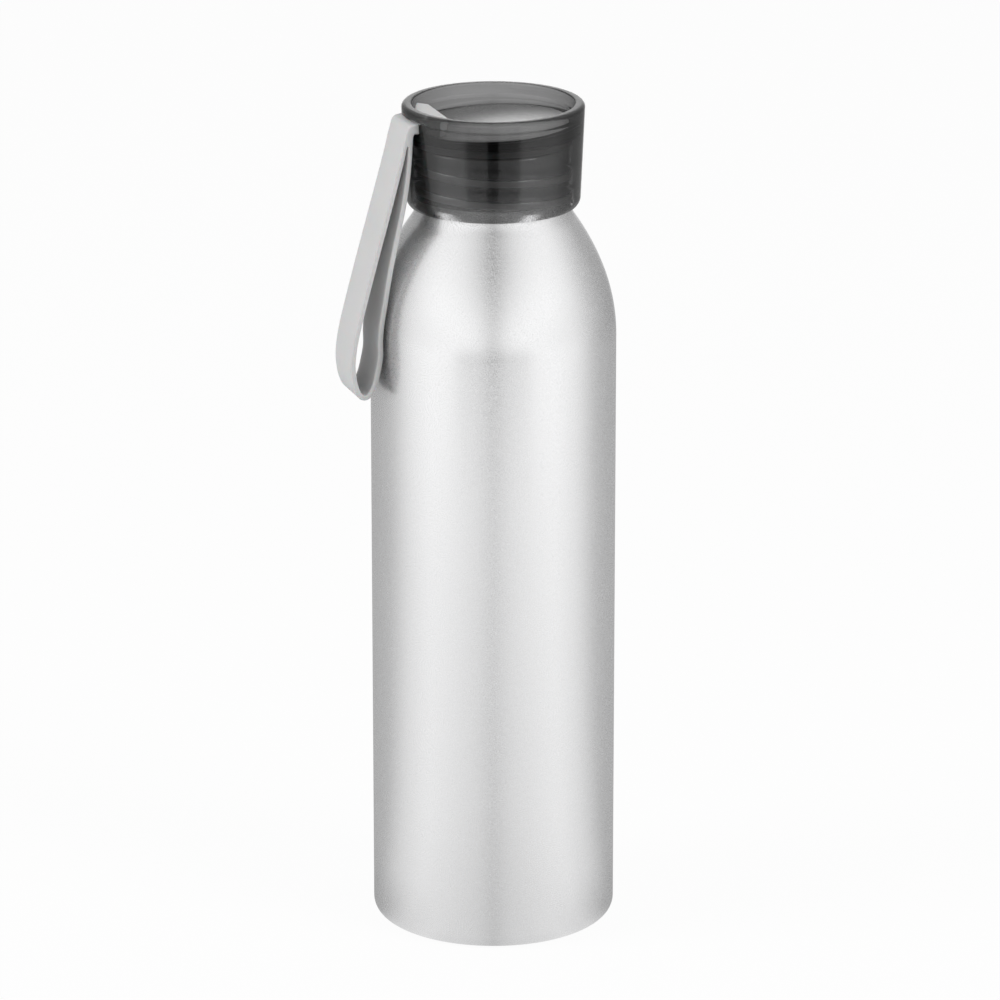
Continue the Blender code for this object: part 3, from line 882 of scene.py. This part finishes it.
class BOTTLE_OT_studio(bpy.types.Operator):
    """Sets up the camera, the white floor and the soft studio light"""

    bl_idname = "bottle.studio"
    bl_label = "Studio"

    def execute(self, context):
        s = context.scene.bottle_studio
        toward = Vector((sin(s.azimuth), -cos(s.azimuth), 0))
        right = Vector((cos(s.azimuth), sin(s.azimuth), 0))

        lens = bpy.data.cameras.new("camera")
        lens.sensor_width = 36
        lens.lens = s.lens
        lens.clip_start, lens.clip_end = 0.05, 50
        camera = new_object("camera", lens)
        camera.location = toward * s.distance + right * s.aside + Vector((0, 0, s.height))
        camera.rotation_euler = (pi / 2 - s.pitch, 0, s.azimuth)
        context.scene.camera = camera

        studio_world(context.scene, s, toward)
        floor = turned("studio_floor", [(0, 0), (s.floor_radius, 0)], STAGE_SEGMENTS)
        finish_mesh(floor, floor_white(s))
        floor.visible_shadow = False
        under = 0.1 * MM
        table = turned("studio_table", [(0, -under), (table_radius, -under)], STAGE_SEGMENTS)
        finish_mesh(table, table_glow(s, toward))
        table.visible_camera = table.visible_diffuse = table.visible_shadow = False

        for name, angle in lamp_angles:
            light = bpy.data.lights.new(name, "AREA")
            light.shape = "RECTANGLE"
            light.size, light.size_y = s.lamp_width, s.lamp_length
            light.energy = s.lamp
            lamp = new_object(name, light)
            turn = s.azimuth + radians(angle)
            lamp.location = (s.lamp_away * sin(turn), -s.lamp_away * cos(turn), s.lamp_lift)
            aim = Vector((0, 0, s.lamp_aim)) - lamp.location
            lamp.rotation_euler = aim.to_track_quat("-Z", "Y").to_euler()
            lamp.visible_camera = lamp.visible_glossy = False
        context.scene.view_settings.view_transform = "Standard"
        return {"FINISHED"}


def seen_directly(nodes):
    """1 for a ray that has met nothing but clear plastic, and 0 for what metal or a matt face sees."""
    path = nodes.add("ShaderNodeLightPath").outputs
    clear = nodes.maths("LESS_THAN", nodes.maths("ADD", path["Glossy Depth"], path["Diffuse Depth"]), 0.5)
    through = nodes.maths("MULTIPLY", path["Is Transmission Ray"], clear)
    return nodes.maths("MAXIMUM", path["Is Camera Ray"], through)


def after_metal(nodes):
    """1 for a ray that a shiny face has already turned back."""
    depth = nodes.add("ShaderNodeLightPath").outputs["Glossy Depth"]
    return nodes.maths("GREATER_THAN", depth, 0.5)


def matt_share(nodes, s):
    """The share of the studio's light: 1 for what is seen, less for light on its way to a matt face."""
    depth = nodes.add("ShaderNodeLightPath").outputs["Diffuse Depth"]
    return nodes.blend(nodes.maths("GREATER_THAN", depth, 0.5), 1.0, s.fill)


# The two lamps for matt faces, by their angle in degrees from the camera's side
lamp_angles = (("softbox_left", -72), ("softbox_right", 56))
# The studio round the bottle, as metal sees it. Columns: the angle in degrees from the camera's side.
# Rows: brightness for directions at each height in degrees; the table stops them from below.
studio_angles = (0, 6, 8, 12, 22, 32, 38, 58, 82, 108, 134, 158, 180)
studio_rows = (
    (-12, (0.05, 0.06, 0.36, 0.38, 0.40, 0.50, 1.05, 1.12, 1.00, 0.44, 0.34, 0.30, 1.00)),
    (-5, (0.62, 0.90, 0.96, 1.08, 1.15, 1.12, 1.05, 0.94, 0.83, 0.52, 0.34, 0.35, 1.30)),
    (15, (0.42, 0.68, 0.75, 0.88, 1.00, 1.05, 1.08, 1.12, 0.94, 0.54, 0.36, 0.50, 1.00)),
    (45, (0.20, 0.34, 0.39, 0.50, 0.67, 0.79, 0.86, 0.95, 1.02, 0.98, 0.86, 0.72, 0.65)),
    (85, (0.33, 0.45, 0.51, 0.62, 0.72, 0.80, 0.85, 0.92, 0.95, 0.93, 0.91, 0.85, 0.80)),
)
# Brightness of the table by the same angles, for distances from the bottle's axis in metres
near_row = (0.56, 0.65, 0.68, 0.73, 0.78, 0.83, 0.86, 0.95, 0.80, 0.48, 0.43, 0.41, 0.38)
table_rows = (
    (0.040, (0.63, 0.72, 0.74, 0.78, 0.82, 0.87, 0.90, 0.80, 0.46, 0.38, 0.38, 0.38, 0.38)),
    (0.066, near_row),
    (0.30, near_row),
    (0.60, (0.68, 0.78, 0.81, 0.88, 0.94, 0.99, 1.02, 1.12, 0.92, 0.52, 0.42, 0.41, 0.38)),
)
# Painted shadow of the bottle on the table: how much of the table's glow is left near the bottle, by the same
# distances
table_painted_shadow = ((0.04, 0.86), (0.12, 0.96), (0.30, 1.0))
table_radius = 0.66
# The colour ramps hold brightness as a share of this
brightest = 2.5


def heading(nodes, level, toward):
    """Angle between a level direction and the camera's side, as a share of half a turn."""
    unit = nodes.out("ShaderNodeVectorMath", {0: level}, operation="NORMALIZE")
    return nodes.maths("DIVIDE", nodes.maths("ARCCOSINE", nodes.measure("DOT_PRODUCT", unit, toward)), pi)


def banded(nodes, angle, measure, rows):
    """Brightness by the angle from the camera's side, blended between the rows that a measure passes."""
    places = [a / 180 for a in studio_angles]
    marks = [mark for mark, _ in rows]
    bands = [nodes.ramp(angle, [*zip(places, (v / brightest for v in row))]) for _, row in rows]
    seen = bands[0]
    for last_mark, mark, band in zip(marks, marks[1:], bands[1:]):
        seen = nodes.mixed_colours(nodes.blend(measure, 0.0, 1.0, last_mark, mark), seen, band)
    return seen


def studio_world(scene, s, toward):
    """A white studio that metal sees as soft panels on both sides, with a gap where the camera stands."""
    world = bpy.data.worlds.new("studio")
    scene.world = world
    world.use_nodes = True
    world.node_tree.nodes.clear()
    nodes = Nodes(world.node_tree)
    level, parts = nodes.flattened(nodes.add("ShaderNodeTexCoord").outputs["Generated"])
    tilt = nodes.maths("DEGREES", nodes.maths("ARCSINE", parts["Z"]))
    seen = banded(nodes, heading(nodes, level, toward), tilt, studio_rows)
    white = (1 / brightest, 1 / brightest, 1 / brightest, 1)
    lit = nodes.mixed_colours(seen_directly(nodes), seen, white)
    strength = nodes.maths("MULTIPLY", matt_share(nodes, s), s.level * brightest)
    background = nodes.out("ShaderNodeBackground", {"Color": lit, "Strength": strength})
    nodes.add("ShaderNodeOutputWorld", {"Surface": background})


def floor_white(s):
    """Pale floor that the camera sees as white, with the bottle's soft shadow on it."""
    material, nodes, _ = new_material("studio_white")
    matt = nodes.out("ShaderNodeBsdfDiffuse", {"Color": (0.8, 0.8, 0.8, 1)})
    glow = nodes.out("ShaderNodeEmission", {"Color": (1, 1, 1, 1), "Strength": 1.0})
    clear = nodes.out("ShaderNodeBsdfTransparent")
    mixed = nodes.mixed_shaders(nodes.maths("MULTIPLY", seen_directly(nodes), s.white), matt, glow)
    shown = nodes.mixed_shaders(after_metal(nodes), mixed, clear)
    nodes.add("ShaderNodeOutputMaterial", {"Surface": shown})
    return material


def table_glow(s, toward):
    """A glow painted as the white table top that metal sees: brighter to the sides, where the panels light
    it, and darker near the bottle as its painted shadow.
    """
    material, nodes, place = new_material("studio_table")
    level, _ = nodes.flattened(place)
    away = nodes.measure("LENGTH", level)
    lit = banded(nodes, heading(nodes, level, toward), away, table_rows)
    # Painted shadow: the glow is dimmed near the bottle
    gain = nodes.maths("MULTIPLY", nodes.ramp(away, table_painted_shadow), matt_share(nodes, s))
    strength = nodes.maths("MULTIPLY", nodes.maths("MULTIPLY", lit, gain), brightest)
    glow = nodes.out("ShaderNodeEmission", {"Strength": strength})
    clear = nodes.out("ShaderNodeBsdfTransparent")
    shown = nodes.mixed_shaders(after_metal(nodes), clear, glow)
    nodes.add("ShaderNodeOutputMaterial", {"Surface": shown})
    material.cycles.emission_sampling = "NONE"
    return material


class VIEW3D_PT_bottle(bpy.types.Panel):
    """Sizes, colours and building steps of the bottle"""

    bl_label = "Aluminium bottle"
    bl_space_type = "VIEW_3D"
    bl_region_type = "UI"
    bl_category = "Bottle"

    def draw(self, context):
        for title, group, _, operators in steps:
            box = self.layout.box()
            box.label(text=title)
            settings = getattr(context.scene, group)
            for key in settings.bl_rna.properties.keys():
                if key not in ("name", "rna_type"):
                    box.prop(settings, key)
            for operator in operators:
                box.operator(operator)


# Sidebar boxes: title, name of the settings on the scene, their class, and the operators that use them
steps = (
    ("Studio", "bottle_studio", StudioSettings, ("bottle.studio",)),
    ("Shell", "bottle_shell", ShellSettings, ("bottle.shell",)),
    ("Thread", "bottle_thread", ThreadSettings, ("bottle.neck_thread",)),
    ("Lid", "bottle_lid", LidSettings, ("bottle.lid", "bottle.seal")),
    ("Strap", "bottle_strap", StrapSettings, ("bottle.strap",)),
)
groups = {name: group for _, name, group, _ in steps}
operator_classes = (
    BOTTLE_OT_studio, BOTTLE_OT_shell, BOTTLE_OT_neck_thread, BOTTLE_OT_lid, BOTTLE_OT_seal, BOTTLE_OT_strap,
)


def register():
    for cls in (*groups.values(), *operator_classes, VIEW3D_PT_bottle):
        bpy.utils.register_class(cls)
    for name, group in groups.items():
        setattr(bpy.types.Scene, name, PointerProperty(type=group))


def unregister():
    for name in groups:
        delattr(bpy.types.Scene, name)
    for cls in (VIEW3D_PT_bottle, *reversed(operator_classes), *groups.values()):
        bpy.utils.unregister_class(cls)


def main():
    register()
    for thing in [o for o in bpy.data.objects if o.type in ("LIGHT", "CAMERA")]:
        bpy.data.objects.remove(thing)
    bpy.ops.bottle.studio()
    bpy.ops.bottle.shell()
    bpy.ops.bottle.neck_thread()
    bpy.ops.bottle.lid()
    bpy.ops.bottle.seal()
    bpy.ops.bottle.strap()


if __name__ == "__main__":
    main()
